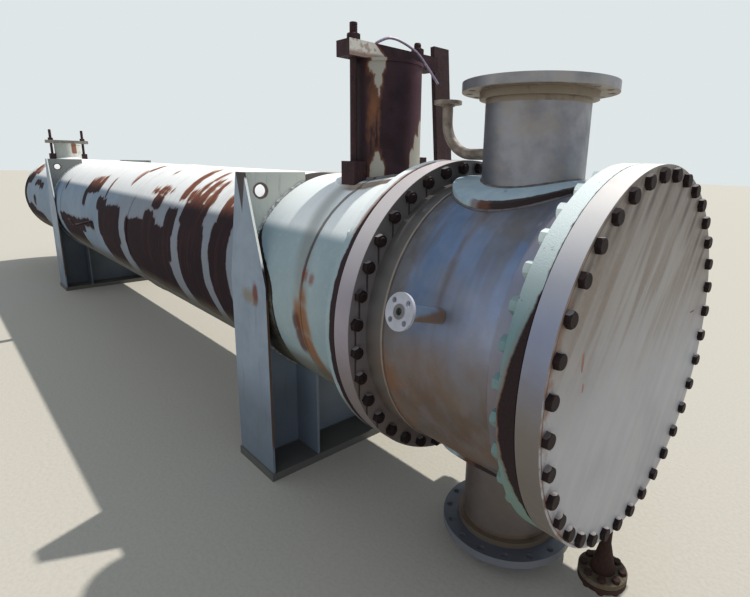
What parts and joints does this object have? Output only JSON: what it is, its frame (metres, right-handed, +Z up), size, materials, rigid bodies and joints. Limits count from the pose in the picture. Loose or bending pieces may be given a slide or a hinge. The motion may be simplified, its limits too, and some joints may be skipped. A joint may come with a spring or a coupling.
{
  "type": "shell and tube heat exchanger",
  "caption": "horizontal shell and tube heat exchanger with a bolted channel, flanged nozzles, clamped shell nozzle blinds and plate supports",
  "frame": {"origin": "centre of the front support's base underside, on the floor", "axes": "X along the vessel with the channel cover towards +X, Y across with the instrument nozzle on -Y, Z up"},
  "size_m": [9.8381, 1.481, 2.353],
  "materials": {
    "cover_steel": "weathered machined steel plate",
    "bare_steel": "bare rolled steel with light rust",
    "mint_paint": "faded mint paint over steel",
    "shell_paint": "chalky blue green paint",
    "bare_primer": "red brown primer and rust",
    "rusty_steel": "dark rusty steel",
    "support_paint": "faded blue grey paint",
    "gasket": "dark fibre gasket"
  },
  "bodies": {
    "root": {"channel_cover": "cover_steel", "cover_gasket": "gasket", "channel_front_flange": "mint_paint", "channel_barrel": "bare_steel", "tubesheet": "bare_steel", "tubesheet_gasket": "gasket", "shell_flange": "mint_paint", "shell_front_course": "shell_paint", "shell_middle_course": "shell_paint", "shell_long_course": "bare_primer", "shell_rear_course": "shell_paint", "rear_head": "bare_primer", "top_nozzle_neck": "bare_steel", "top_nozzle_flange": "bare_steel", "top_nozzle_pad": "shell_paint", "bottom_nozzle_neck": "bare_steel", "bottom_nozzle_flange": "bare_steel", "bottom_nozzle_pad": "bare_primer", "instrument_nozzle": "bare_steel", "vent_pipe": "bare_steel", "vent_flange": "bare_steel", "drain_pipe": "rusty_steel", "drain_flange": "rusty_steel", "drain_blind": "rusty_steel", "front_nozzle_neck": "rusty_steel", "front_nozzle_pad": "rusty_steel", "front_nozzle_blind": "rusty_steel", "front_clamp_bar": "rusty_steel", "front_clamp_lugs": "rusty_steel", "front_upright_bar": "rusty_steel", "rear_nozzle_neck": "bare_steel", "rear_nozzle_pad": "shell_paint", "rear_nozzle_blind": "bare_steel", "rear_clamp_bar": "rusty_steel", "rear_clamp_lugs": "rusty_steel", "front_support_web": "support_paint", "front_support_sides": "support_paint", "front_support_ribs": "support_paint", "front_support_base": "support_paint", "rear_support_web": "support_paint", "rear_support_sides": "support_paint", "rear_support_ribs": "support_paint", "rear_support_base": "support_paint", "side_bracket": "rusty_steel"}
  },
  "joints": []
}
